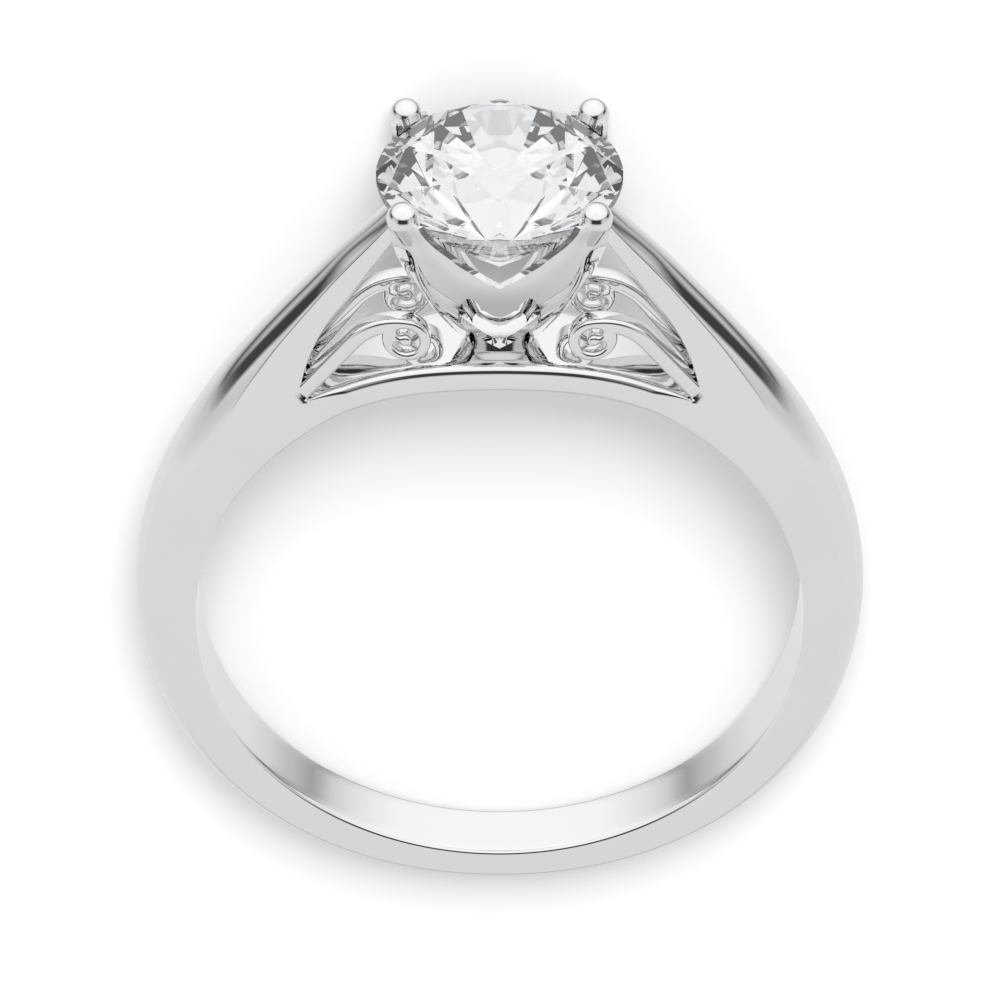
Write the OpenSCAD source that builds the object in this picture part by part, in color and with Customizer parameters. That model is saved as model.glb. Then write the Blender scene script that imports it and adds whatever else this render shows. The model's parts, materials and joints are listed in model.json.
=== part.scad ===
// Cathedral solitaire ring: a polished white metal mounting with one round brilliant stone.
// The ring is drawn upright (finger axis along Y, stone towards +Z, centre of the finger
// hole at the origin) and then laid down on its back side, as it rests on a table.
// All lengths are in millimetres.

/* [Finger hole] */
// Diameter of the finger hole
bore_d = 16.5; // [15:0.1:18]

/* [Shank] */
// Reach of the domed outside from the hole's centre at the sides
shank_reach = 9.9; // [9.7:0.05:10.2]
// Height of the widest point above the hole's centre
shank_rise = 0.6; // [0.4:0.05:0.7]
// Reach of the rounder arc under the hole
bottom_reach = 10.2; // [10:0.05:10.3]
// Height of that arc's centre above the hole's centre
bottom_rise = 0.67; // [0.6:0.01:0.8]
// Radius of the domed cross-section
dome_r = 1.2; // [1.15:0.01:1.3]
// Width of the shank at the bottom
bottom_w = 1.8; // [1.6:0.05:2]
// Width of the shank where the shoulders begin
side_w = 2.12; // [2:0.02:2.2]

/* [Shoulders] */
// Distance from the hole's centre to the straight ridge of a shoulder
ridge_reach = 10.74; // [10.6:0.01:10.9]
// Height at which the shoulders begin to narrow towards the stone
taper_from_z = 6; // [5:0.1:7]
// Radius of the curve that narrows them
taper_r = 50; // [45:1:60]
// Distance of the shoulder tips from the middle of the ring
shoulder_tip_x = 2.4; // [2.3:0.05:2.6]

/* [Bridge] */
// Thickness of the bridge that closes the finger hole under the stone
bridge_t = 0.8; // [0.7:0.05:0.9]
// Width of the bridge in its middle
bridge_mid_w = 3.04; // [2.8:0.02:3.2]
// Width of the bridge where it meets the shoulders
bridge_end_w = 2.04; // [1.9:0.02:2.1]
// Half length over which it widens
bridge_half = 5; // [4.8:0.1:5.2]

/* [Scrolls] */
// Depth of one scroll along the finger axis
scroll_t = 0.55; // [0.45:0.05:0.65]
// Width of the scroll's band
scroll_band = 0.42; // [0.38:0.02:0.46]
// Outer radius of the curled end
curl_r = 0.64; // [0.6:0.01:0.66]

/* [Head] */
// Radius of the head's foot on the bridge
foot_r = 0.56; // [0.5:0.01:0.65]
// Lean of the head's wall at its foot, from level
foot_lean = 54; // [52:0.5:56]
// Height above the bridge at which the head's straight wall begins to curve
head_curve_z = 2; // [1.8:0.1:2.2]
// Radius of the head's curved outside, seen from the side
head_curve_r = 7.4; // [7:0.1:8]
// Wall of the head
head_wall = 0.5; // [0.45:0.01:0.6]
// Distance of the prong tips from the head's axis
tip_reach = 3.34; // [3.3:0.01:3.4]
// Radius of a prong's rounded tip
tip_r = 0.44; // [0.4:0.01:0.46]

/* [Stone] */
// Diameter of the stone
stone_d = 6.3; // [6.2:0.05:6.4]
// Height of the stone's girdle above the hole's centre
girdle_z = 14; // [13.9:0.05:14.1]
// Gap between the stone and the metal
seat_gap = 0.03; // [0.02:0.01:0.05]

/* [Hidden] */

$fn = 96;
far = 40;
metal = [0.86, 0.86, 0.87];
gem = [0.93, 0.95, 0.97];

bore_r = bore_d / 2;

// the shank's outside: a round arc below, two wider arcs at the sides, then the shoulders' lines
shoulder_turn = asin(0.658944);
arc_shift = (ridge_reach - 0.658944 * shank_rise - shank_reach) / (1 - cos(shoulder_turn));
side_arc_r = shank_reach + arc_shift;
shoulder_len = 9;
section_depth = 2.6;

// the side faces: flat and slightly tapered below, narrowing by a curve above
side_h = side_w / 2;
bottom_h = bottom_w / 2;
waist_h = side_h - (side_h - bottom_h) / 5;

// the window between a shoulder and the bridge, seen from the front
bridge_r = bore_r + bridge_t;
window_apex = [-2.2, 13.08];
window_slope = 54.5;
window_bend = [-4.25, 10.2];
window_arc_r = 5.6;
window_arc_turn = 27;
window_corner = [-5.08, 7.6];

// the scroll, seen from the front: a curled end and a stem that rises from the corner
curl_c = [-2.41, 9.7];
stem_c = [-2.55, 8.54];
stem_r = 1.8;
stem_end = 142;
stem_len = 2.3;
eye_c = [-2.43, 9.63];
eye_r = 0.37;
tongue_z = 9.77;
tongue_r = 0.1;
tongue_tip_x = -2.4;

// the head: a tulip-shaped cup whose wall is cut into four pointed petals with prongs
foot_z = bridge_r;
head_curve_start = [foot_r + head_curve_z / tan(foot_lean), foot_z + head_curve_z];
head_curve_c = head_curve_start + head_curve_r * [-sin(foot_lean), cos(foot_lean)];
head_top_z = 14.3;
cup_floor_z = 9.8;
petal_shoulder = [0.44, 13.9];
petal_foot = [1.78, 12.46];
tip_z = 14.2;
prong_lean = 60;
prong_len = 2.08;

// the stone: standard round brilliant proportions, as shares of its radius
stone_r = stone_d / 2;
girdle_h = 0.12;
table_share = 0.57;
crown_angle = 34.5;
pavilion_angle = 40.8;
star_share = 0.5;
lower_half_share = 0.77;
half_step = 11.25;
crown_h = (1 - table_share) * tan(crown_angle) * stone_r;
pavilion_h = tan(pavilion_angle) * stone_r;
table_flat_r = table_share * cos(2 * half_step) * stone_r;
star_tip_r = table_flat_r + star_share * (stone_r - table_flat_r);
star_tip_z = (stone_r - star_tip_r * cos(2 * half_step)) * tan(crown_angle);
star_angle = atan((crown_h - star_tip_z) / (star_tip_r - table_flat_r));
upper_half_angle = atan(star_tip_z / ((stone_r - star_tip_r) * cos(half_step)));
lower_tip_r = (1 - lower_half_share) * stone_r;
lower_tip_z = (stone_r - lower_tip_r * cos(2 * half_step)) * tan(pavilion_angle);
lower_half_angle = atan(lower_tip_z / ((stone_r - lower_tip_r) * cos(half_step)));

// the ring lies on the girdle's back edge and on the back edge of the shank's bottom
outer_r = bottom_reach - bottom_rise;
crease_h = waist_h - (waist_h - bottom_h) * 4 * (outer_r - dome_r / 3) / far;
rest_r = outer_r - dome_r + sqrt(dome_r * dome_r - crease_h * crease_h);
rest_tilt = atan((stone_r - crease_h) / (girdle_z - girdle_h + rest_r));
rest_lift = stone_r * cos(rest_tilt) - (girdle_z - girdle_h) * sin(rest_tilt);
rest_low_y = -(outer_r - dome_r) * cos(rest_tilt) - dome_r;
rest_high_y = table_flat_r * sin(rest_tilt)
              + (girdle_z + girdle_h + crown_h) * cos(rest_tilt);

// lays the upright ring down on its back side, tilted as it rests
module laid_down() {
    translate([0, -(rest_low_y + rest_high_y) / 2, rest_lift])
        rotate([rest_tilt - 90, 0, 0])
            children();
}

// a shape drawn as seen from the front, carried right through the ring
module through_front(width = far) {
    rotate([90, 0, 0])
        linear_extrude(width, center = true)
            children();
}

// a shape drawn as seen from above, carried right through the ring
module through_top() {
    linear_extrude(2 * far, center = true)
        children();
}

module both_sides() {
    children();
    mirror([1, 0, 0])
        children();
}

// the shank's cross-section: radius along X and width along Y
module dome_section(reach, depth) {
    translate([reach - dome_r, 0])
        circle(dome_r, $fn = 40);
    translate([reach - depth, -dome_r])
        square([depth - dome_r, 2 * dome_r]);
}

// a round plate with a domed rim, standing upright
module domed_plate(reach, depth) {
    rotate([90, 0, 0])
        rotate_extrude()
            dome_section(reach, depth);
}

// the lower half of the domed bar, still filled inside
module lower_bar() {
    intersection() {
        both_arcs();
        translate([0, 0, bottom_rise])
            domed_plate(bottom_reach, bottom_reach);
        translate([-far, -far / 2, -far])
            cube([2 * far, far, far]);
    }
}

module both_arcs() {
    intersection() {
        translate([arc_shift, 0, shank_rise])
            domed_plate(side_arc_r, side_arc_r);
        translate([-arc_shift, 0, shank_rise])
            domed_plate(side_arc_r, side_arc_r);
    }
}

// the left upper side of the domed bar: the side arc runs on into a straight shoulder
module upper_bar() {
    intersection() {
        translate([arc_shift, 0, shank_rise])
            rotate([0, shoulder_turn, 0]) {
                intersection() {
                    domed_plate(side_arc_r, section_depth);
                    translate([-far, -far / 2, -far])
                        cube(far);
                }
                linear_extrude(shoulder_len)
                    mirror([1, 0])
                        dome_section(side_arc_r, section_depth);
            }
        translate([-far, -far / 2, 0])
            cube([far - shoulder_tip_x, far, far]);
    }
}

// the outline of the side faces, seen along X: width along X, height along Y
module side_outline() {
    polygon([[side_h, taper_from_z], [waist_h, 0], [bottom_h, -far / 4],
             [-bottom_h, -far / 4], [-waist_h, 0], [-side_h, taper_from_z]]);
    intersection() {
        translate([side_h - taper_r, taper_from_z])
            circle(taper_r, $fn = 360);
        translate([taper_r - side_h, taper_from_z])
            circle(taper_r, $fn = 360);
        translate([-far, taper_from_z])
            square([2 * far, far]);
    }
}

// half width of the bridge, swelling smoothly towards the middle
function bridge_half_w(x) =
    let (u = min(abs(x), bridge_half) / bridge_half)
    (bridge_end_w + (bridge_mid_w - bridge_end_w) * pow(cos(90 * u), 2)) / 2;

// the bridge seen from above; inset moves both edges inwards
module bridge_outline(inset = 0) {
    steps = 24;
    length = bridge_half + 0.8;
    xs = [for (i = [-steps:steps]) length * i / steps];
    front = [for (x = xs) [x, inset - bridge_half_w(x)]];
    back = [for (i = [len(xs) - 1:-1:0]) [xs[i], bridge_half_w(xs[i]) - inset]];
    polygon(concat(front, back));
}

// the open space above the bridge and under a shoulder, seen from the front
module window_outline() {
    arc_c = window_bend + window_arc_r * [sin(window_slope), -cos(window_slope)];
    start = 90 + window_slope;
    bend = [for (i = [0:12])
        arc_c + window_arc_r * [cos(start + window_arc_turn * i / 12),
                                sin(start + window_arc_turn * i / 12)]];
    difference() {
        polygon(concat([[0, window_apex[1]], window_apex], bend,
                       [window_corner, [0, window_corner[1]]]));
        circle(bridge_r);
    }
}

// cuts the flat side faces of what stands inside them
module between_sides() {
    intersection() {
        children();
        rotate([90, 0, 90])
            linear_extrude(2 * far, center = true)
                side_outline();
    }
}

module shank_and_shoulders() {
    between_sides()
        lower_bar();
    both_sides()
        difference() {
            between_sides()
                upper_bar();
            through_front()
                window_outline();
        }
}

module bridge() {
    intersection() {
        through_front()
            intersection() {
                difference() {
                    circle(bridge_r);
                    circle(bore_r - 0.2);
                }
                translate([-bridge_half - 0.4, 0])
                    square([2 * bridge_half + 0.8, far]);
            }
        through_top()
            bridge_outline();
    }
}

// one scroll seen from the front, on the left side
module scroll_outline() {
    difference() {
        union() {
            translate(curl_c)
                circle(curl_r, $fn = 48);
            intersection() {
                difference() {
                    translate(stem_c)
                        circle(stem_r);
                    translate(stem_c)
                        circle(stem_r - scroll_band);
                }
                polygon([stem_c, stem_c + [0, far], stem_c + far * [-1, 1],
                         stem_c + far * [cos(stem_end + 2), sin(stem_end + 2)]]);
            }
            translate(stem_c)
                rotate(stem_end)
                    translate([stem_r - scroll_band, 0])
                        square([scroll_band, stem_len]);
        }
        scroll_eye();
    }
}

// the open eye of the curled end, with the tongue left standing in it
module scroll_eye() {
    difference() {
        translate(eye_c)
            circle(eye_r, $fn = 40);
        translate([tongue_tip_x, tongue_z])
            circle(tongue_r, $fn = 20);
        translate([tongue_tip_x - 1, tongue_z - tongue_r])
            square([1, 2 * tongue_r]);
    }
}

// four scrolls: one in each window, in front and behind
module scrolls() {
    intersection() {
        through_front()
            difference() {
                both_sides()
                    scroll_outline();
                circle(bore_r + 0.1);
            }
        difference() {
            through_top()
                bridge_outline();
            through_top()
                bridge_outline(scroll_t);
        }
    }
}

// the side view of the head's solid: a straight cone below and a curved wall above
module cup_section(inset, floor_z) {
    r = head_curve_r - inset;
    bend = head_curve_c + r * [sin(foot_lean), -cos(foot_lean)];
    foot = bend - far / 4 * [cos(foot_lean), sin(foot_lean)];
    intersection() {
        union() {
            intersection() {
                translate(head_curve_c)
                    circle(r, $fn = 120);
                translate([0, bend[1]])
                    square([far, head_top_z - bend[1]]);
            }
            polygon([foot, bend, [0, bend[1]], [foot[0], bend[1]]]);
        }
        translate([0, floor_z])
            square([far, head_top_z - floor_z]);
    }
}

module head_cup() {
    rotate_extrude($fn = 72)
        difference() {
            cup_section(0, foot_z - 0.3);
            cup_section(head_wall, cup_floor_z);
        }
}

// one petal seen along its own radius: as wide as the prong above, flaring downwards
module petal_outline() {
    half = [[petal_shoulder[0], head_top_z + 1], petal_shoulder, petal_foot,
            [far, petal_foot[1]], [far, 0]];
    polygon(concat(half, [for (i = [4:-1:0]) [-half[i][0], half[i][1]]]));
}

// the round prong that grows out of a petal and ends in a ball over the stone's edge
module prong() {
    translate([tip_reach, 0, tip_z]) {
        sphere(tip_r, $fn = 24);
        rotate([0, 180 + 90 - prong_lean, 0])
            cylinder(r = tip_r, h = prong_len, $fn = 24);
    }
}

// the opening between two prongs under their joined edge, seen from the front
module head_window_outline() {
    half = [[0.37, 11.72], [0.66, 12.06], [0.86, 11.98], [1.02, 11.62], [1.06, 11.2],
            [0.98, 10.78], [0.5, 10.3]];
    polygon(concat([[0, 11.38]], half, [[0, 9.98]],
                   [for (i = [6:-1:0]) [-half[i][0], half[i][1]]]));
}

module head() {
    difference() {
        union() {
            intersection() {
                head_cup();
                union()
                    for (a = [45, 135, 225, 315])
                        rotate([90, 0, a + 90])
                            linear_extrude(far)
                                petal_outline();
            }
            for (a = [45, 135, 225, 315])
                rotate([0, 0, a])
                    prong();
        }
        for (a = [0, 90, 180, 270])
            rotate([90, 0, a])
                linear_extrude(far)
                    head_window_outline();
    }
}

// a plain turned envelope of the stone, grown by the seat gap
module stone_room() {
    r = stone_r + seat_gap;
    top = girdle_z + girdle_h + seat_gap + crown_h;
    rotate_extrude()
        polygon([[0, girdle_z - girdle_h - pavilion_h - seat_gap * 2],
                 [r, girdle_z - girdle_h - seat_gap],
                 [r, girdle_z + girdle_h + seat_gap],
                 [table_share * stone_r, top], [table_share * stone_r, far], [0, far]]);
}

module ring_mounting() {
    color(metal)
        laid_down()
            difference() {
                difference() {
                    union() {
                        shank_and_shoulders();
                        bridge();
                        scrolls();
                        head();
                    }
                    rotate([90, 0, 0])
                        cylinder(r = bore_r, h = far, center = true);
                }
                stone_room();
            }
}

// keeps what lies below a plane at the given lean and direction
module below_plane(lean, direction, reach) {
    rotate([0, lean, direction])
        translate([-far, -far, reach - 2 * far])
            cube(2 * far);
}

// the reach of a plane through a point at radius r and height z
function plane_reach(lean, r, z) = r * sin(lean) + z * cos(lean);

module diamond() {
    mains = [for (k = [0:7]) 22.5 + 45 * k];
    stars = [for (k = [0:7]) 45 * k];
    halves = [for (k = [0:15]) half_step + 22.5 * k];
    color(gem)
        laid_down()
            translate([0, 0, girdle_z])
                intersection() {
                    translate([0, 0, -far])
                        cylinder(r = stone_r, h = far + girdle_h + crown_h);
                    intersection_for (a = mains)
                        below_plane(crown_angle, a, plane_reach(crown_angle, stone_r, girdle_h));
                    intersection_for (a = stars)
                        below_plane(star_angle, a,
                                    plane_reach(star_angle, table_flat_r, girdle_h + crown_h));
                    intersection_for (a = halves)
                        below_plane(upper_half_angle, a,
                                    plane_reach(upper_half_angle, stone_r * cos(half_step),
                                                girdle_h));
                    mirror([0, 0, 1])
                        intersection_for (a = mains)
                            below_plane(pavilion_angle, a,
                                        plane_reach(pavilion_angle, stone_r, girdle_h));
                    mirror([0, 0, 1])
                        intersection_for (a = halves)
                            below_plane(lower_half_angle, a,
                                        plane_reach(lower_half_angle,
                                                    stone_r * cos(half_step), girdle_h));
                }
}

ring_mounting();
diamond();
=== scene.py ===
# %% [markdown]
# # A cathedral solitaire ring in polished white gold
# The ring lies on its back on a pale table, as it rests by itself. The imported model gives
# the sizes, and this script gives the looks: a mirror-polished mounting and a cut stone.
# Every shape is first worked out with the ring standing upright, in millimetres, because
# that is how a goldsmith draws it. One matrix then lays it down where the frame has it.

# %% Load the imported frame
import json
import math

import bmesh
import bpy
import numpy as np
from mathutils import Matrix, Vector


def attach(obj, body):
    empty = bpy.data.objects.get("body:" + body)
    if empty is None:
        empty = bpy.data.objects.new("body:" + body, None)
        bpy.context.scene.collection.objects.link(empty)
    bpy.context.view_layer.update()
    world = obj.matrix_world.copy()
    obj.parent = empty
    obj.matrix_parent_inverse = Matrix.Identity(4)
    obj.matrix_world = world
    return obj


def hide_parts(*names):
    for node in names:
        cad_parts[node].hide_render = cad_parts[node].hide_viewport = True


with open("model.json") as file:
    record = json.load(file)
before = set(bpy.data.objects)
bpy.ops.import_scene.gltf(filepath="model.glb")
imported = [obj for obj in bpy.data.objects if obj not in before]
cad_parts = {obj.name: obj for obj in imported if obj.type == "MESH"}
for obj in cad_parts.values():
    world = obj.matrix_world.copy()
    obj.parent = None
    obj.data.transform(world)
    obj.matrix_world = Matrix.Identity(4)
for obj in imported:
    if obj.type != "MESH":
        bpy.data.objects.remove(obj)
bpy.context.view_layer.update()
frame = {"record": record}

# %% [markdown]
# ## From the goldsmith's drawing to the table
# The record states the finger hole as a mount: a point on its axis and the direction in
# which a finger leaves. Those two facts are enough to lay the upright drawing down, with
# X across the hoop, Y along the finger and Z towards the stone in the drawing.

# %% The matrix that lays the ring down
finger_hole = next(m for m in frame["record"]["mounts"] if m["name"] == "finger_bore")
hole_centre = Vector(finger_hole["pos_m"])
hole_axis = Vector(finger_hole["axis"])
lean = math.atan2(-hole_axis.y, hole_axis.z)
LAY_DOWN = Matrix.Translation(hole_centre) @ Matrix.Rotation(lean - math.pi / 2, 4, "X")
MM = 0.001
print("the hole's axis leans", round(math.degrees(lean), 2), "degrees from upright")


# %% [markdown]
# ## The camera
# The camera looks at the front of the ring from above, with a long lens, so near and far
# sides are almost the same size. Its place is worked out in the upright drawing and laid
# down with the ring, so it keeps the same angle to the ring and ends up above the table.

# %% Camera
def place_camera(distance, height_angle, look_down, lens):
    """Puts the camera in front of the upright ring, then lays it down with the ring."""
    spot = Vector((0, -distance * math.cos(height_angle), distance * math.sin(height_angle)))
    forward = Vector((0, math.cos(look_down), -math.sin(look_down)))
    up = Vector((0, math.sin(look_down), math.cos(look_down)))
    turned = LAY_DOWN.to_3x3()
    forward, up = turned @ forward, turned @ up
    right = forward.cross(up)
    camera = bpy.data.objects.new("camera", bpy.data.cameras.new("camera"))
    bpy.context.scene.collection.objects.link(camera)
    camera.matrix_world = Matrix((right, up, -forward)).transposed().to_4x4()
    camera.matrix_world.translation = LAY_DOWN @ (spot * MM)
    camera.data.lens = lens
    camera.data.sensor_width = 36
    camera.data.shift_x = 0.0004
    camera.data.clip_start = 0.005
    camera.data.clip_end = 5
    bpy.context.scene.camera = camera
    return camera


camera = place_camera(125.3, math.radians(38.62), math.radians(37.32), 164.95)
print("camera at", [round(c, 4) for c in camera.matrix_world.translation])

# %% [markdown]
# ## Helpers for meshes
# Each piece of metal is drawn as sheets of points: rows that follow the ring and points
# that go across it. The ring is the same left and right, and front and back, so only the
# left front quarter is drawn. The other three are mirrored and the seams are merged, which
# leaves one closed skin with clean four-sided faces that a mirror polish needs.


# %% Sheets of points to one closed mesh
def mirrored(sheets, flips):
    """The sheets, and their copies mirrored along each axis in flips."""
    copies = list(sheets)
    for axis in flips:
        signs = np.ones(3)
        signs[axis] = -1
        copies += [sheet * signs for sheet in copies]
    return copies


def skin(sheets, weld=2e-4):
    """A bmesh in millimetres from sheets of points, welded where they meet."""
    bm = bmesh.new()
    for sheet in sheets:
        rows, across, _ = sheet.shape
        corners = [[bm.verts.new(p) for p in row] for row in sheet.tolist()]
        for i in range(rows - 1):
            for j in range(across - 1):
                bm.faces.new((corners[i][j], corners[i][j + 1],
                              corners[i + 1][j + 1], corners[i + 1][j]))
    bmesh.ops.remove_doubles(bm, verts=bm.verts, dist=weld)
    bmesh.ops.dissolve_degenerate(bm, edges=bm.edges, dist=weld)
    bmesh.ops.recalc_face_normals(bm, faces=bm.faces)
    return bm


def to_piece(bm, name, sharp=32):
    """Closes any slit, lays a bmesh down with the ring and shades it as polished."""
    slits = [e for e in bm.edges if e.is_boundary]
    bmesh.ops.holes_fill(bm, edges=slits, sides=0)
    bmesh.ops.recalc_face_normals(bm, faces=bm.faces)
    bm.transform(LAY_DOWN @ Matrix.Scale(MM, 4))
    mesh = bpy.data.meshes.new(name)
    bm.to_mesh(mesh)
    open_edges = sum(e.is_boundary for e in bm.edges)
    bm.free()
    mesh.shade_smooth()
    mesh.set_sharp_from_angle(angle=math.radians(sharp))
    piece = bpy.data.objects.new(name, mesh)
    bpy.context.scene.collection.objects.link(piece)
    print(name, len(mesh.polygons), "faces,", open_edges, "open edges")
    return piece


def smooth_curve(knots, values):
    """A natural cubic curve through the values, level at the last knot."""
    knots, values = np.array(knots, float), np.array(values, float)
    h, n = np.diff(knots), len(knots)
    a, b = np.zeros((n, n)), np.zeros(n)
    a[0, 0] = 1
    for i in range(1, n - 1):
        a[i, i - 1:i + 2] = h[i - 1], 2 * (h[i - 1] + h[i]), h[i]
        b[i] = 3 * ((values[i + 1] - values[i]) / h[i] - (values[i] - values[i - 1]) / h[i - 1])
    a[-1, -2:] = h[-1], 2 * h[-1]
    b[-1] = 3 * (0 - (values[-1] - values[-2]) / h[-1])
    c = np.linalg.solve(a, b)
    d = np.diff(c) / (3 * h)
    slope = np.diff(values) / h - h * (2 * c[:-1] + c[1:]) / 3

    def at(t):
        i = np.clip(np.searchsorted(knots, t) - 1, 0, n - 2)
        u = t - knots[i]
        return values[i] + slope[i] * u + c[i] * u * u + d[i] * u * u * u
    return at


# %% [markdown]
# ## The outline of the hoop
# Seen from the front, the inside is a circle and the outside is almost one: wider at the
# sides, thin at the bottom, and rising in two long shoulders towards the stone. The outside
# is one smooth curve through a few radii, by the angle from the top. The bar is domed
# outside with flat side faces, and those faces lean in towards the stone.

# %% Outline, widths and window
BORE_R = 8.25
DOME_R = 1.2
TOP_TO_BOTTOM = np.radians([9, 14, 20, 26, 32, 38, 44, 50, 57, 65, 75, 90, 105, 120, 135, 150,
                            165, 180])
ridge_r = smooth_curve(TOP_TO_BOTTOM, [13.95, 13.085, 12.335, 11.74, 11.295, 10.97, 10.725,
                                       10.515, 10.335, 10.19, 10.045, 9.888, 9.815, 9.805,
                                       9.755, 9.665, 9.57, 9.52])


def out(angle, r):
    """The point at a radius and an angle from the top, on the left side."""
    return np.stack([-r * np.sin(angle), np.zeros_like(angle), r * np.cos(angle)], -1)


def half_width(z):
    """Half the width of the side faces at a height above the finger hole's centre."""
    return np.interp(z, [-9.5, 0, 4, 6.4, 7.4, 8.4, 9.2, 10.8, 12.9, 15],
                     [0.9, 1.03, 1.06, 1.06, 1.025, 0.945, 0.87, 0.745, 0.58, 0.42])


print("outside radius at the side and the bottom:",
      ridge_r(np.radians(90)).round(2), ridge_r(np.pi).round(2))

# %% The window's upper edge and the bridge
CORNER = np.array([-5.08, 0, 7.6])
CORNER_ANGLE = math.atan2(5.08, 7.6)
BRIDGE_R = 9.05
TIP_ANGLE = math.atan2(2.6, 13.34)


def along(points, steps, ease=1.0):
    """Points at even steps along a chain of straight pieces."""
    points = np.array(points, float)
    lengths = np.r_[0, np.cumsum(np.linalg.norm(np.diff(points, axis=0), axis=1))]
    where = lengths[-1] * np.linspace(0, 1, steps) ** ease
    return np.stack([np.interp(where, lengths, points[:, k]) for k in range(3)], -1)


def window_edge(steps):
    """The underside of a shoulder, from the window's corner up to the shoulder's tip."""
    turn = np.radians(np.linspace(171.5, 144.5, 16))
    bend = np.stack([0.309 + 5.6 * np.cos(turn), 0 * turn, 6.948 + 5.6 * np.sin(turn)], -1)
    return along(np.vstack([[CORNER], bend, [[-2.4, 0, 12.8]]]), steps)


def bridge_half(x):
    """Half the width of the bridge, which swells towards the middle."""
    x = np.minimum(np.abs(x), 5)
    return 1.03 + 0.49 * np.cos(np.radians(18 * x)) ** 2


# %% [markdown]
# ## The mounting's bar: hoop, shoulders and bridge
# On the real ring this is one casting. A swept profile would pinch where the bar splits
# into shoulder and bridge, so the sections are drawn row by row. Each row starts in the
# middle of the inside wall, turns the small rounded edge, crosses the flat side face, turns
# the crease and ends on the ridge of the dome. Where the bar splits, the side face is shared
# out: its inner half goes on as the bridge and its outer half as the shoulder.

# %% Section parts
def rounded(start, corner, end, steps):
    """A small rounded edge from start to end, bending at the corner."""
    t = np.linspace(0, 1, steps)[:, None, None]
    return (1 - t) ** 2 * start + 2 * t * (1 - t) * corner + t * t * end


def on_side(points, widths):
    """The points moved forward onto the side face."""
    moved = points.copy()
    moved[..., 1] = -widths
    return moved


def ridge(angle):
    """Points on the outer ridge and the directions that stand square on it."""
    top = out(angle, ridge_r(angle))
    ahead = out(angle + 1e-4, ridge_r(angle + 1e-4)) - out(angle - 1e-4, ridge_r(angle - 1e-4))
    square = np.stack([ahead[:, 2], 0 * angle, -ahead[:, 0]], -1)
    square /= np.linalg.norm(square, axis=1)[:, None]
    square *= np.sign(np.sum(square * top, axis=1))[:, None]
    return top, square


def outer_half(inner, angle, start_y, split=5, edge=0.05):
    """Rows from a start on the side face over the crease and the dome to the ridge."""
    top, square = ridge(angle)
    width = half_width(top[:, 2] - 0.3)
    for _ in range(4):
        depth = DOME_R - np.sqrt(DOME_R ** 2 - width ** 2)
        width = half_width((top - square * depth[:, None])[:, 2])
    crease = on_side(top - square * depth[:, None], width)
    flat_crease = crease * [1, 0, 1]
    inward = inner * [1, 0, 1] - flat_crease
    inward /= np.linalg.norm(inward, axis=1)[:, None]
    low = flat_crease + inward * edge
    low = on_side(low, half_width(low[:, 2]))
    turn = np.arcsin(width / DOME_R)
    first = turn - edge / DOME_R

    def dome(b):
        return top - square * (DOME_R * (1 - np.cos(b)))[:, None] \
            - np.array([0, 1, 0]) * (DOME_R * np.sin(b))[:, None]
    face = [inner * (1 - t) + low * t for t in np.linspace(0, 1, split)[:-1]]
    face = [inner] + [on_side(f * [1, 0, 1], np.minimum(half_width(f[:, 2]), start_y))
                      for f in face[1:]]
    bend = list(rounded(low, crease, dome(first), 5))
    arc = [dome(first * t) for t in np.linspace(1, 0, 16)[1:]]
    return np.stack(face + bend + arc, 1)


# %% The three parts of the left front quarter
def inner_half(angle, width, top_r, steps=5, edge=0.15):
    """Rows from the middle of the finger hole's wall over its rounded edge to a radius."""
    across = [out(angle, BORE_R) - np.array([0, 1, 0]) * ((width - edge) * t)[:, None]
              for t in np.linspace(0, 1, 4)[:-1]]
    start = on_side(out(angle, BORE_R), width - edge)
    corner = on_side(out(angle, BORE_R), width)
    end = on_side(out(angle, BORE_R + edge), width)
    bend = list(rounded(start, corner, end, 7))
    face = [on_side(out(angle, BORE_R + edge + (top_r - BORE_R - edge) * t), width)
            for t in np.linspace(0, 1, steps)[1:]]
    return np.stack(across + bend + face, 1)


def hoop_quarter(steps=120):
    """The bar from the window's corner down to the bottom of the hoop."""
    angle = np.linspace(CORNER_ANGLE, np.pi, steps)
    level = BORE_R * np.cos(angle)
    width = half_width(level)
    fade = np.clip((angle - CORNER_ANGLE) / 0.5, 0, 1)
    split_r = np.linalg.norm(CORNER) * (1 - fade) + (BORE_R + 0.6) * fade
    inside = inner_half(angle, width, split_r)
    outside = outer_half(inside[:, -1], angle, 9)
    return [inside, outside]


def shoulder_quarter(steps=70, edge=0.07):
    """The shoulder above the window, from the corner up to its tip at the stone."""
    under = window_edge(steps)
    angle = np.linspace(CORNER_ANGLE, TIP_ANGLE, steps)
    far = np.linalg.norm(under - CORNER, axis=1)
    edge = edge * np.clip(far / 0.4, 0, 1)
    width = half_width(under[:, 2])
    width = np.where(far < 1e-9, half_width(BORE_R * math.cos(CORNER_ANGLE)), width)
    up = ridge(angle)[0] - under
    up /= np.linalg.norm(up, axis=1)[:, None]
    across = [under - np.array([0, 1, 0]) * ((width - edge) * t)[:, None]
              for t in np.linspace(0, 1, 4)[:-1]]
    bend = list(rounded(on_side(under, width - edge), on_side(under, width),
                        on_side(under + up * edge[:, None], width), 5))
    face = outer_half(bend[-1], angle, 9)
    rows = np.concatenate([np.stack(across + bend[:-1], 1), face], 1)
    end = rows[-1:]
    return [rows, np.concatenate([end, end * [1, 0, 1]], 0)]


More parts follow.
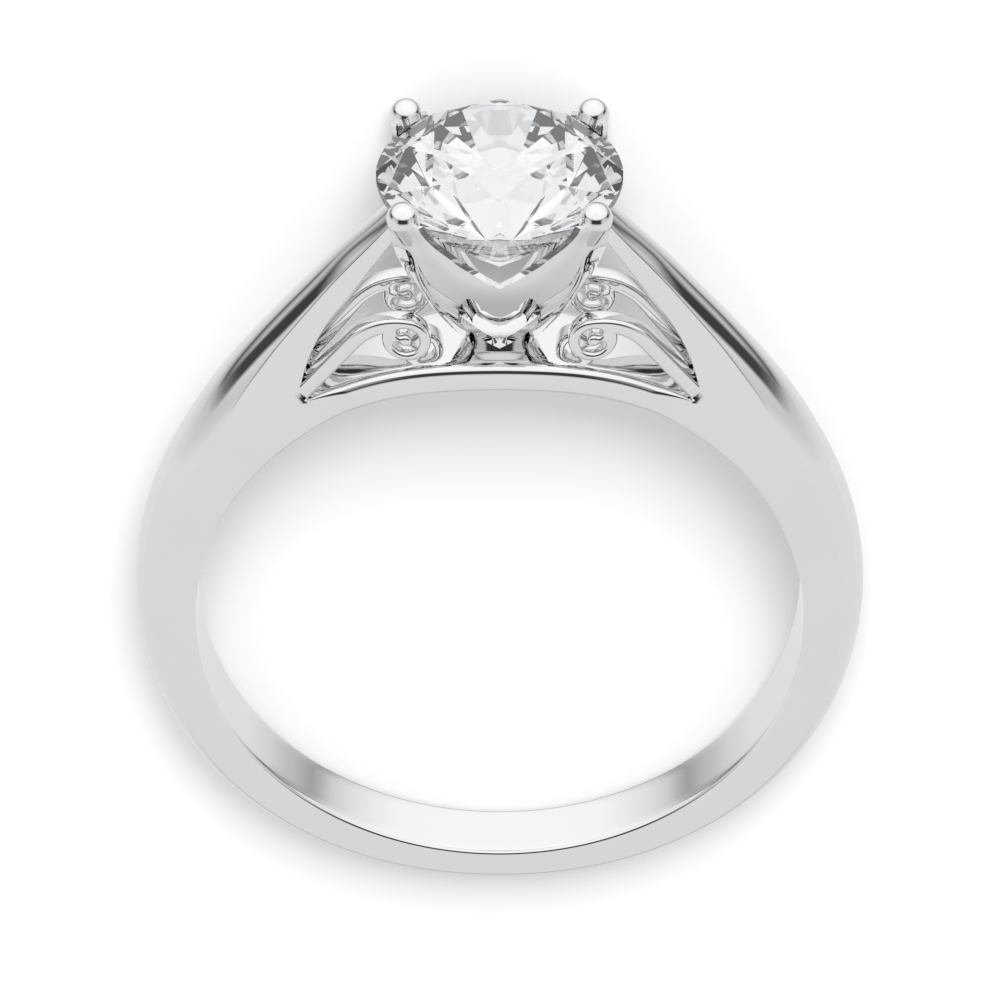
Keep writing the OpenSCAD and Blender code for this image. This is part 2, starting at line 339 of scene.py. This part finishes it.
def bridge_quarter(steps=60, edge=0.32):
    """The bridge under the stone, from the window's corner to the middle."""
    angle = np.linspace(CORNER_ANGLE, 0, steps)
    near = np.clip((CORNER_ANGLE - angle) / 0.12, 0, 1)
    width = bridge_half(BORE_R * np.sin(angle))
    width = width * near + half_width(BORE_R * math.cos(CORNER_ANGLE)) * (1 - near)
    top_r = np.linalg.norm(CORNER) * (1 - near) + BRIDGE_R * near
    edge = edge * near
    face = inner_half(angle, width, top_r - edge)
    bend = list(rounded(face[:, -1], on_side(out(angle, top_r), width),
                        on_side(out(angle, top_r), width - edge), 8))
    across = [out(angle, top_r) - np.array([0, 1, 0]) * ((width - edge) * t)[:, None]
              for t in np.linspace(1, 0, 5)[1:]]
    return [np.concatenate([face, np.stack(bend[1:] + across, 1)], 1)]


# %% Weld the bar
bar_sheets = hoop_quarter() + shoulder_quarter() + bridge_quarter()
bar = to_piece(skin(mirrored(bar_sheets, (0, 1))), "hoop_and_shoulders")

# %% [markdown]
# ## Cutting metal with metal
# The head and the stone's seat are cut shapes, like the jeweller's own saw and bur cuts.
# Boolean modifiers do that here: each cutter is a closed mesh, and the result is baked into
# a new mesh so that nothing depends on the cutters afterwards.

# %% Closed shapes and cuts
def hidden(bm, name):
    """A cutter or a blank as an object, still upright and in millimetres."""
    bmesh.ops.recalc_face_normals(bm, faces=bm.faces)
    mesh = bpy.data.meshes.new(name)
    bm.to_mesh(mesh)
    bm.free()
    blank = bpy.data.objects.new(name, mesh)
    bpy.context.scene.collection.objects.link(blank)
    return blank


def worked(blank, *steps):
    """A bmesh of the blank after its cuts and joins; the helpers are removed."""
    for kind, tool in steps:
        change = blank.modifiers.new(tool.name, "BOOLEAN")
        change.operation = kind
        change.solver = "EXACT"
        change.object = tool
    bpy.context.view_layer.update()
    result = bmesh.new()
    result.from_mesh(blank.evaluated_get(bpy.context.evaluated_depsgraph_get()).data)
    for used in {blank, *(tool for _, tool in steps)}:
        bpy.data.objects.remove(used)
    return result


def turned(profile, segments=96):
    """A closed solid turned on the Z axis from a chain of (radius, height)."""
    angle = np.linspace(0, 2 * np.pi, segments + 1)
    profile = np.array(profile, float)
    sheet = np.stack([np.cos(angle)[:, None] * profile[None, :, 0],
                      np.sin(angle)[:, None] * profile[None, :, 0],
                      np.ones_like(angle)[:, None] * profile[None, :, 1]], -1)
    return skin([sheet], 1e-5)


def lofted(rings):
    """A closed solid through rings of points that all have the same count."""
    bm = bmesh.new()
    loops = [[bm.verts.new(p) for p in ring] for ring in rings]
    bm.faces.new(loops[0])
    bm.faces.new(loops[-1][::-1])
    count = len(loops[0])
    for a, b in zip(loops, loops[1:]):
        for i in range(count):
            j = (i + 1) % count
            bm.faces.new((a[i], b[i], b[j], a[j]))
    return bm


def prism(outline, depth_from, depth_to):
    """An outline in X and Z carried from one depth to another along Y."""
    return lofted([[(x, y, z) for x, z in outline] for y in (depth_from, depth_to)])


def round_axis(bm, count, first=0.0):
    """The shape repeated evenly round the head's axis."""
    bm.transform(Matrix.Rotation(first, 4, "Z"))
    one = bm.verts[:] + bm.edges[:] + bm.faces[:]
    for k in range(1, count):
        copy = bmesh.ops.duplicate(bm, geom=one)["geom"]
        verts = [g for g in copy if isinstance(g, bmesh.types.BMVert)]
        bmesh.ops.rotate(bm, cent=(0, 0, 0), verts=verts,
                         matrix=Matrix.Rotation(k * 2 * math.pi / count, 3, "Z"))
    return bm


# %% [markdown]
# ## The stone
# A round brilliant has a table, eight star facets, eight kites and sixteen halves on the
# crown, and eight mains and sixteen halves below. A cutter grinds those flats one by one,
# so the mesh is made the same way: a round blank is cut by one plane for each facet. The
# flats stay flat-shaded, because a lens-like soft edge would smear what the stone shows.

# %% Facet planes of a round brilliant
STONE_R = 3.15
GIRDLE_Z = 14.0
GIRDLE_H = 0.12
CROWN, PAVILION = math.radians(34.5), math.radians(40.8)
STEP = math.radians(11.25)
crown_h = 0.43 * math.tan(CROWN) * STONE_R
pavilion_h = math.tan(PAVILION) * STONE_R
table_r = 0.57 * math.cos(2 * STEP) * STONE_R
star_r = table_r + 0.5 * (STONE_R - table_r)
star_z = (STONE_R - star_r * math.cos(2 * STEP)) * math.tan(CROWN)
star_lean = math.atan((crown_h - star_z) / (star_r - table_r))
upper_lean = math.atan(star_z / ((STONE_R - star_r) * math.cos(STEP)))
low_r = 0.23 * STONE_R
low_z = (STONE_R - low_r * math.cos(2 * STEP)) * math.tan(PAVILION)
lower_lean = math.atan(low_z / ((STONE_R - low_r) * math.cos(STEP)))


def facets():
    """Each facet as its direction, its lean and a point it passes through."""
    mains = [2 * STEP + k * math.pi / 4 for k in range(8)]
    stars = [k * math.pi / 4 for k in range(8)]
    halves = [STEP + k * math.pi / 8 for k in range(16)]
    near = STONE_R * math.cos(STEP)
    rows = [(mains, CROWN, STONE_R, GIRDLE_H, 1), (stars, star_lean, table_r,
            GIRDLE_H + crown_h, 1), (halves, upper_lean, near, GIRDLE_H, 1),
            (mains, PAVILION, STONE_R, -GIRDLE_H, -1), (halves, lower_lean, near,
            -GIRDLE_H, -1)]
    for directions, facet_lean, r, z, side in rows:
        for a in directions:
            flat = Vector((math.sin(facet_lean) * math.cos(a),
                           math.sin(facet_lean) * math.sin(a), side * math.cos(facet_lean)))
            yield Vector((r * math.cos(a), r * math.sin(a), z)), flat


# %% Cut the stone
def cut_stone():
    """A round blank with one flat ground on for each facet."""
    low, high = -GIRDLE_H - pavilion_h - 0.5, GIRDLE_H + crown_h
    bm = turned([(0, low), (STONE_R, low), (STONE_R, high), (0, high)], 128)
    flat_ends = [f for f in bm.faces if abs(f.normal.z) > 0.9]
    bmesh.ops.dissolve_faces(bm, faces=[f for f in flat_ends if f.calc_center_median().z > 0])
    for point, flat in facets():
        geometry = bm.verts[:] + bm.edges[:] + bm.faces[:]
        cut = bmesh.ops.bisect_plane(bm, geom=geometry, dist=1e-6, plane_co=point,
                                     plane_no=flat, clear_outer=True)
        edges = [g for g in cut["geom_cut"] if isinstance(g, bmesh.types.BMEdge)]
        bmesh.ops.edgeloop_fill(bm, edges=edges)
    bmesh.ops.remove_doubles(bm, verts=bm.verts, dist=1e-4)
    bm.transform(Matrix.Translation((0, 0, GIRDLE_Z)))
    return bm


stone = to_piece(cut_stone(), "round_brilliant", sharp=4)

# %% [markdown]
# ## The head
# The head is a tulip-shaped cup with eight soft-edged sides: four broad petals that turn
# into the prongs, and four webs between them. A deep V is sawn into each web, and under
# each V a heart-shaped window opens. Each petal ends in a small ball over the stone's edge.
# It is made as a jeweller would: a hollow blank, then four equal cuts of each kind, and
# last the seat, cut to the stone's own outline with a small gap.

# %% The eight-sided tulip
FOOT_Z, RIM_Z = 9.05, 14.22
WEB_TOP_R = 2.85
LEVELS = [FOOT_Z, 9.7, 10.4, 11.09, 11.75, 12.32, 12.85, 13.3, 14.0, 14.35]
web_r = smooth_curve(LEVELS, [0.84, 1.33, 1.82, 2.24, 2.57, 2.76, 2.84, WEB_TOP_R,
                               WEB_TOP_R, WEB_TOP_R])
petal_r = smooth_curve(LEVELS, [0.9, 1.39, 1.88, 2.31, 2.64, 2.87, 3.05, 3.2, 3.45, 3.58])
PETAL_TURN = math.radians(18)


def tulip_rows(levels, insets, around=192, softness=30):
    """Closed rows of the tulip's outline, each moved inwards by its inset."""
    a = np.linspace(0, 2 * np.pi, around + 1)
    flats = [(k * np.pi / 2, web_r) for k in range(2)]
    flats += [(k * np.pi / 4 + turn, petal_r) for k in (1, 3)
              for turn in (-PETAL_TURN, PETAL_TURN)]
    rows = []
    for z, inset in zip(levels, insets):
        nearness = sum(np.abs(np.cos(a + turn) / (reach(z) - inset)) ** softness
                       for turn, reach in flats)
        r = nearness ** (-1 / softness)
        rows.append(np.stack([r * np.cos(a), r * np.sin(a), z + 0 * a], -1))
    return rows


def cup_blank():
    """The uncut cup, with its foot set into the bridge."""
    floor_z, foot_depth, pit_depth = 9.35, 0.25, 0.22
    high = np.linspace(FOOT_Z, RIM_Z, 60)
    low = np.linspace(RIM_Z, floor_z, 44)
    wall = np.interp(low, [floor_z, 11.2, 12.0], [0.36, 0.3, 0.15])
    rows = tulip_rows(high, 0 * high) + tulip_rows(low, wall)
    foot = rows[0] * [0.9, 0.9, 1] - [0, 0, foot_depth]
    floor = rows[-1] * [0, 0, 1] - [0, 0, pit_depth]
    return skin([np.stack([foot * [0, 0, 1], foot] + rows + [floor])], 1e-5)


# %% The saw cuts between the petals
def bend_through(points, steps):
    """A smooth chain through a few points."""
    points = np.array(points, float)
    t = np.arange(len(points))
    curves = [smooth_curve(t, points[:, k]) for k in range(points.shape[1])]
    at = np.linspace(0, len(points) - 1, steps)
    return np.stack([curve(at) for curve in curves], -1)


def petal_gaps(past=9):
    """Four V-shaped cutters: open wedges whose point climbs along the petals' edges."""
    edge = bend_through([(0, 12.31), (0.256, 12.5), (0.512, 12.69), (0.767, 12.9),
                         (1.023, 13.08), (1.279, 13.3), (1.535, 13.5), (1.79, 13.72),
                         (1.96, 13.94), (2.06, 14.2), (2.1, 14.5)], 44)
    rows = []
    for half, z in [(-0.05, 12.28), *edge, (2.1, 15.5)]:
        tip = np.array([0, half - WEB_TOP_R, z])
        rows.append([tip, tip + [-past, -past, 0], tip + [past, -past, 0]])
    return round_axis(lofted(rows), 4)


def heart_windows(first):
    """Two opposite heart-shaped cutters for the openings under the webs."""
    half = bend_through([(0, 11.15), (0.25, 11.3), (0.5, 11.68), (0.72, 11.95),
                         (0.9, 11.84), (1.02, 11.45), (1.07, 10.95), (0.97, 10.55),
                         (0.6, 10.05), (0, 9.3)], 36)
    outline = [(x, z) for x, z in half] + [(-x, z) for x, z in half[-2:0:-1]]
    return round_axis(prism(outline, -0.2, -6), 2, first)


# %% Prongs and the stone's seat
def prongs(r=0.42, reach=3.42, tip_z=14.28, prong_lean=67, length=0.75):
    """Four round prongs, each with a ball end, leaning along the petals."""
    a = np.linspace(0, math.pi / 2, 9)
    profile = [(0, -length), (r * 0.75, -length), (r, -0.001)]
    profile += [(r * math.cos(t), r * math.sin(t)) for t in a[:-1]] + [(0, r)]
    bm = turned(profile, 48)
    bm.transform(Matrix.Translation((reach, 0, tip_z))
                 @ Matrix.Rotation(math.radians(90 - prong_lean), 4, "Y"))
    return round_axis(bm, 4, math.pi / 4)


def seat(gap=0.03):
    """The stone's own outline, a little larger, to cut its seat out of the metal."""
    r = STONE_R + gap
    top = GIRDLE_Z + GIRDLE_H + gap + crown_h
    return turned([(0, GIRDLE_Z - GIRDLE_H - pavilion_h - 2 * gap),
                   (r, GIRDLE_Z - GIRDLE_H - gap), (r, GIRDLE_Z + GIRDLE_H + gap),
                   (0.57 * STONE_R, top), (0.57 * STONE_R, 17), (0, 17)], 128)


head = to_piece(worked(hidden(cup_blank(), "cup"),
                       ("DIFFERENCE", hidden(petal_gaps(), "gaps")),
                       ("UNION", hidden(prongs(), "prongs")),
                       ("DIFFERENCE", hidden(heart_windows(0), "windows")),
                       ("DIFFERENCE", hidden(heart_windows(math.pi / 2), "side_windows")),
                       ("DIFFERENCE", hidden(seat(), "seat"))), "tulip_head")

# %% [markdown]
# ## The scrolls
# Each window holds a scroll in front and one behind: a bent strip that rises from the
# corner, curls over and ends in a small eye. A jeweller would cut it from sheet and round
# its edges. A flat curve does the same: the outline is filled, given a thickness, and its
# bevel rounds the edges.

# %% Outline of a scroll
CURL_C, CURL_R = np.array([-2.41, 9.7]), 0.64
STEM_C, STEM_R, STEM_W = np.array([-2.55, 8.54]), 1.8, 0.42
STEM_END = 142


def arc(centre, r, start, end, steps):
    """Points on an arc between two angles in degrees."""
    a = np.radians(np.linspace(start, end, steps))
    return np.stack([centre[0] + r * np.cos(a), centre[1] + r * np.sin(a)], -1)


def crossing(r, side):
    """The angle about the stem's centre at which a circle of radius r meets the curl."""
    gap = CURL_C - STEM_C
    d = np.linalg.norm(gap)
    swing = math.acos((r * r + d * d - CURL_R ** 2) / (2 * r * d))
    return math.degrees(math.atan2(gap[1], gap[0]) + side * swing)


def scroll_lines():
    """The scroll's outer line and the line of its open eye, both closed."""
    a = math.radians(STEM_END)
    straight = np.array([-math.sin(a), math.cos(a)])
    over = arc(STEM_C, STEM_R, STEM_END, crossing(STEM_R, -1), 40)
    under = arc(STEM_C, STEM_R - STEM_W, crossing(STEM_R - STEM_W, 1), STEM_END, 30)
    first, last = over[-1] - CURL_C, under[0] - CURL_C
    a0 = math.degrees(math.atan2(first[1], first[0]))
    a1 = math.degrees(math.atan2(last[1], last[0]))
    curl = arc(CURL_C, CURL_R, a0, a1 - 360 if a1 > a0 else a1, 60)
    foot = straight * 2.25
    line = np.vstack([[over[0] + foot], over, curl[1:-1], under, [under[-1] + foot]])
    first, last, middle, half = 118, -144, 0.27, 0.1
    centre = np.array([-2.43, 9.68])
    cap_0, cap_1 = (centre + arc((0, 0), middle, turn, turn, 1)[0] for turn in (first, last))
    eye = [arc(centre, middle + half, first, last, 44), arc(cap_1, half, last, last - 180, 10),
           arc(centre, middle - half, last, first, 30),
           arc(cap_0, half, first + 180, first, 10)]
    return line, np.vstack([part[:-1] for part in eye])


def scroll(side, depth, name, thick=0.55, edge=0.11):
    """One scroll, left or right (side), in front or behind (depth)."""
    shape = bpy.data.curves.new(name, "CURVE")
    shape.dimensions = "2D"
    shape.fill_mode = "BOTH"
    shape.extrude = thick / 2 - edge
    shape.bevel_depth = edge
    shape.bevel_resolution = 3
    shape.offset = -edge
    for points in scroll_lines():
        spline = shape.splines.new("POLY")
        spline.points.add(len(points) - 1)
        for point, (x, z) in zip(spline.points, points):
            point.co = (x, z, 0, 1)
        spline.use_cyclic_u = True
    strip = bpy.data.objects.new(name, shape)
    bpy.context.scene.collection.objects.link(strip)
    bm = bmesh.new()
    bm.from_mesh(bpy.data.meshes.new_from_object(strip))
    bpy.data.objects.remove(strip)
    bmesh.ops.remove_doubles(bm, verts=bm.verts, dist=1e-5)
    for v in bm.verts:
        x, z, y = v.co
        v.co = (side * x, depth * (y - 1.03 + thick / 2 - 0.1 * (x + 5)), z)
    bmesh.ops.recalc_face_normals(bm, faces=bm.faces)
    return bm


# %% Four scrolls
scrolls = [to_piece(scroll(side, depth, word), "scroll_" + word, sharp=40)
           for side, depth, word in ((1, 1, "front_left"), (-1, 1, "front_right"),
                                     (1, -1, "back_left"), (-1, -1, "back_right"))]

# %% [markdown]
# ## Helpers for materials
# One function adds a node with its settings and links, and one turns a hex colour, as a
# colour picker gives it, into the linear values that Blender works with.

# %% Nodes and colours
def add(tree, kind, links=None, values=None, **settings):
    """Adds a node, sets its properties and input values, and links its inputs."""
    node = tree.nodes.new(kind)
    for name, value in settings.items():
        setattr(node, name, value)
    for name, value in (values or {}).items():
        node.inputs[name].default_value = value
    for name, socket in (links or {}).items():
        tree.links.new(socket, node.inputs[name])
    return node


def colour(hex_text):
    """An sRGB hex colour as linear red, green, blue and alpha."""
    parts = [int(hex_text[i:i + 2], 16) / 255 for i in (1, 3, 5)]
    return [p / 12.92 if p <= 0.04045 else ((p + 0.055) / 1.055) ** 2.4 for p in parts] + [1]


def new_material(name):
    """An empty node material with its output."""
    material = bpy.data.materials.new(name)
    material.use_nodes = True
    material.node_tree.nodes.clear()
    return material, material.node_tree


# %% [markdown]
# ## Rhodium-plated white gold
# White gold is plated with rhodium and buffed to a mirror, so the eye sees almost no colour
# of its own, only the room. It is a full metal with very low roughness. What makes it real
# is what the buffing wheel leaves: faint hairlines, and a haze that comes and goes. Real
# hairlines are a hundredth of a millimetre wide or less. They are drawn here ten times as
# coarse, at about a tenth of a millimetre, because finer ones would be lost between pixels.

# %% The mounting's material
def polished_white_gold():
    """A mirror with a haze in its roughness and hairlines in its relief."""
    material, tree = new_material("rhodium_plated_white_gold")
    place = add(tree, "ShaderNodeTexCoord").outputs["Object"]
    grain = add(tree, "ShaderNodeMapping", {"Vector": place},
                {"Scale": (9000, 9000, 700), "Rotation": (0.5, 0.3, 0.2)})
    hairlines = add(tree, "ShaderNodeTexNoise", {"Vector": grain.outputs["Vector"]},
                    {"Scale": 1.0, "Detail": 3.0})
    haze = add(tree, "ShaderNodeTexNoise", {"Vector": place}, {"Scale": 420.0, "Detail": 2.0})
    rough = add(tree, "ShaderNodeMapRange", {"Value": haze.outputs["Fac"]},
                {"From Min": 0.35, "From Max": 0.7, "To Min": 0.018, "To Max": 0.05})
    tone = add(tree, "ShaderNodeMix", {"Factor": haze.outputs["Fac"]}, data_type="RGBA")
    tone.inputs["A"].default_value = colour("#F1F1F0")
    tone.inputs["B"].default_value = colour("#EDEEEE")
    relief = add(tree, "ShaderNodeBump", {"Height": hairlines.outputs["Fac"]},
                 {"Strength": 0.02, "Distance": 0.00001})
    shader = add(tree, "ShaderNodeBsdfPrincipled",
                 {"Base Color": tone.outputs["Result"], "Roughness": rough.outputs["Result"],
                  "Normal": relief.outputs["Normal"]}, {"Metallic": 1.0})
    add(tree, "ShaderNodeOutputMaterial", {"Surface": shader.outputs["BSDF"]})
    return material


# %% [markdown]
# ## Diamond
# Diamond bends light more than any other gem, with an IOR of 2.42, so most of what enters
# the crown turns round inside and comes back out. That gives sharp bright and dark flats.
# The faces are perfectly flat and smooth. The girdle, the thin band round the edge, is
# ground and not polished. It is the only part that faces straight sideways, so the shader
# finds it by its direction and frosts it with a fine grit. The glass is almost colourless,
# with a very faint cloud of blue.

# %% The stone's material
def clear_diamond():
    """Colourless and sharp, with a frosted girdle."""
    material, tree = new_material("brilliant_cut_diamond")
    coords = add(tree, "ShaderNodeTexCoord").outputs
    axis = add(tree, "ShaderNodeVectorMath", {0: coords["Normal"]},
               {1: LAY_DOWN.to_3x3() @ Vector((0, 0, 1))}, operation="DOT_PRODUCT")
    side = add(tree, "ShaderNodeMath", {0: axis.outputs["Value"]}, operation="ABSOLUTE")
    girdle = add(tree, "ShaderNodeMath", {0: side.outputs[0]}, {1: 0.1},
                 operation="LESS_THAN")
    grit = add(tree, "ShaderNodeTexNoise", {"Vector": coords["Object"]},
               {"Scale": 9000.0, "Detail": 2.0})
    frost = add(tree, "ShaderNodeMath", {0: girdle.outputs[0], 1: grit.outputs["Fac"]},
                operation="MULTIPLY")
    cloud = add(tree, "ShaderNodeTexNoise", {"Vector": coords["Object"]},
                {"Scale": 350.0, "Detail": 2.0})
    tint = add(tree, "ShaderNodeMix", {"Factor": cloud.outputs["Fac"]}, data_type="RGBA")
    tint.inputs["A"].default_value = colour("#FFFFFF")
    tint.inputs["B"].default_value = colour("#F8FAFF")
    shader = add(tree, "ShaderNodeBsdfPrincipled",
                 {"Roughness": frost.outputs[0], "Base Color": tint.outputs["Result"]},
                 {"IOR": 2.418, "Transmission Weight": 1.0})
    add(tree, "ShaderNodeOutputMaterial", {"Surface": shader.outputs["BSDF"]})
    return material


# %% Give each piece its material
metal, diamond = polished_white_gold(), clear_diamond()
for piece in (bar, head, *scrolls):
    piece.data.materials.append(metal)
stone.data.materials.append(diamond)

# %% [markdown]
# ## The table and the studio
# Polished metal is lit by what it mirrors. The ring stands in a bright white tent with
# dark strips all round near eye level, which draw the black lines along every edge. Five
# walls, from front to back, each have their own strip, as height in degrees and light
# level. Many of these levels come from the photograph: the brightness of a place on the
# metal was read, together with the direction that the place mirrors, and then rounded. The
# others were set one by one. The walls turn with the ring's own upright. The table is left out
# of reflections, so that the metal sees only the tent, and one soft lamp throws the pale
# shadow below the hoop. The tent is a plain white to the camera, a plain grey to the table,
# and paler, with faint patches of colour, to light that has gone through the stone, so its
# strips show in full only where the ring mirrors them.

# %% The tent's walls, by direction and height
WALLS = {
    "front": [(-90, 0.5), (-55, 0.76), (-20, 0.8), (-12, 0.5), (-8, 0.05), (17, 0.03),
              (22, 0.7), (28, 1.0), (90, 1.1)],
    "front_side": [(-90, 0.5), (-55, 0.78), (-10, 0.8), (-2, 0.65), (4, 0.66), (10, 0.74),
                   (14, 0.5), (17, 0.3), (20, 0.7), (26, 1.0), (90, 1.15)],
    "side": [(-90, 0.5), (-55, 0.78), (-10, 0.8), (-1, 0.62), (4, 0.22), (8, 0.06),
             (14, 0.05), (16.5, 0.35), (19, 0.7), (24, 1.0), (90, 1.15)],
    "back_side": [(-90, 0.5), (-55, 0.78), (-15, 0.83), (-5, 0.72), (0, 0.5), (3, 0.09),
                  (5, 0.28), (8.5, 0.6), (11, 0.4), (14, 0.12), (16, 0.5), (20, 0.9),
                  (90, 1.15)],
    "back": [(-90, 0.5), (-55, 0.78), (-15, 0.83), (-5, 0.73), (0, 0.6), (3, 0.56),
             (8.9, 0.4), (12, 0.52), (15, 0.7), (21, 0.86), (31, 1.03), (90, 1.15)]}
TURNS = [("front_side", 25, 45), ("side", 76, 86), ("back_side", 103, 114), ("back", 130, 139)]


def tent():
    """A world that is white above and below a strip whose darkness changes all round."""
    world = bpy.data.worlds.new("tent")
    bpy.context.scene.world = world
    world.use_nodes = True
    tree = world.node_tree
    tree.nodes.clear()
    view = add(tree, "ShaderNodeTexCoord").outputs["Generated"]
    upright = add(tree, "ShaderNodeMapping", {"Vector": view},
                  {"Rotation": (math.pi / 2 - lean, 0, 0)}).outputs["Vector"]
    axes = add(tree, "ShaderNodeSeparateXYZ", {"Vector": upright}).outputs
    height = add(tree, "ShaderNodeMapRange", {"Value": axes["Z"]}, {"From Min": -1})
    across = add(tree, "ShaderNodeMath", {0: axes["X"]}, operation="ABSOLUTE")
    ahead = add(tree, "ShaderNodeMath", {0: axes["Y"]}, {1: -1.0}, operation="MULTIPLY")
    way = add(tree, "ShaderNodeMath", {0: across.outputs[0], 1: ahead.outputs[0]},
              operation="ARCTAN2")

    def wall(stops):
        node = add(tree, "ShaderNodeValToRGB", {"Fac": height.outputs["Result"]})
        marks = node.color_ramp.elements
        while len(marks) < len(stops):
            marks.new(0.5)
        for mark, (degrees, grey) in zip(marks, stops):
            mark.position = 0.5 + 0.5 * math.sin(math.radians(degrees))
            mark.color = (grey, grey, grey, 1)
        return node.outputs["Color"]

    def blend(factor, a, b, kind="MIX"):
        node = add(tree, "ShaderNodeMix", {"Factor": factor, "A": a}, data_type="RGBA",
                   blend_type=kind)
        if isinstance(b, float):
            node.inputs["B"].default_value = (b, b, b, 1)
        else:
            tree.links.new(b, node.inputs["B"])
        return node.outputs["Result"]
    light = wall(WALLS["front"])
    for name, first, last in TURNS:
        part = add(tree, "ShaderNodeMapRange", {"Value": way.outputs[0]},
                   {"From Min": math.radians(first), "From Max": math.radians(last)},
                   interpolation_type="SMOOTHSTEP")
        light = blend(part.outputs["Result"], light, wall(WALLS[name]))
    ray = add(tree, "ShaderNodeLightPath").outputs
    fire = add(tree, "ShaderNodeTexNoise", {"Vector": upright}, {"Scale": 7.0, "Detail": 1.0})
    through = add(tree, "ShaderNodeMath", {0: ray["Is Transmission Ray"]}, {1: 0.42},
                  operation="MULTIPLY").outputs[0]
    light = blend(through, light, 0.95)
    light = blend(through, light, fire.outputs["Color"], "SOFT_LIGHT")
    light = blend(ray["Is Diffuse Ray"], light, 0.8)
    light = blend(ray["Is Camera Ray"], light, 1.0)
    glow = add(tree, "ShaderNodeBackground", {"Color": light})
    add(tree, "ShaderNodeOutputWorld", {"Surface": glow.outputs["Background"]})
    return world


tent()


# %% The table and the soft lamp
def pale_table(size=0.6):
    """A sheet of white card that takes the shadow."""
    bm = bmesh.new()
    bmesh.ops.create_grid(bm, x_segments=2, y_segments=2, size=size)
    mesh = bpy.data.meshes.new("table")
    bm.to_mesh(mesh)
    bm.free()
    table = bpy.data.objects.new("table", mesh)
    bpy.context.scene.collection.objects.link(table)
    material, tree = new_material("white_card")
    shader = add(tree, "ShaderNodeBsdfPrincipled", None,
                 {"Base Color": colour("#F4F4F4"), "Roughness": 0.8,
                  "Specular IOR Level": 0.0})
    add(tree, "ShaderNodeOutputMaterial", {"Surface": shader.outputs["BSDF"]})
    mesh.materials.append(material)
    table.visible_glossy = False
    table.visible_transmission = False
    return table


def soft_lamp(name, place, size, watts):
    """A square lamp that points at the ring; it lights the table but isn't mirrored."""
    lamp = bpy.data.objects.new(name, bpy.data.lights.new(name, "AREA"))
    bpy.context.scene.collection.objects.link(lamp)
    lamp.location = place
    lamp.rotation_euler = (-Vector(place)).to_track_quat("-Z", "Y").to_euler()
    lamp.data.size = size
    lamp.data.energy = watts
    lamp.visible_glossy = False
    lamp.visible_transmission = False
    return lamp


pale_table()
soft_lamp("key_lamp", (0.03, 0.25, 0.22), 0.16, 0.8)
bpy.context.scene.view_settings.view_transform = "Standard"

# %% [markdown]
# ## Joining the frame
# Seven pieces ride on the ring's one body. The metal is left out of what the stone refracts:
# with it in view, the stone came out darker than the real one. That is a choice for the
# looks, not how light behaves.

# %% Join the frame
for piece in (bar, head, *scrolls):
    piece.visible_transmission = False
for piece in (bar, head, stone, *scrolls):
    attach(piece, "root")
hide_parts("ring_mounting")
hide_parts("diamond")
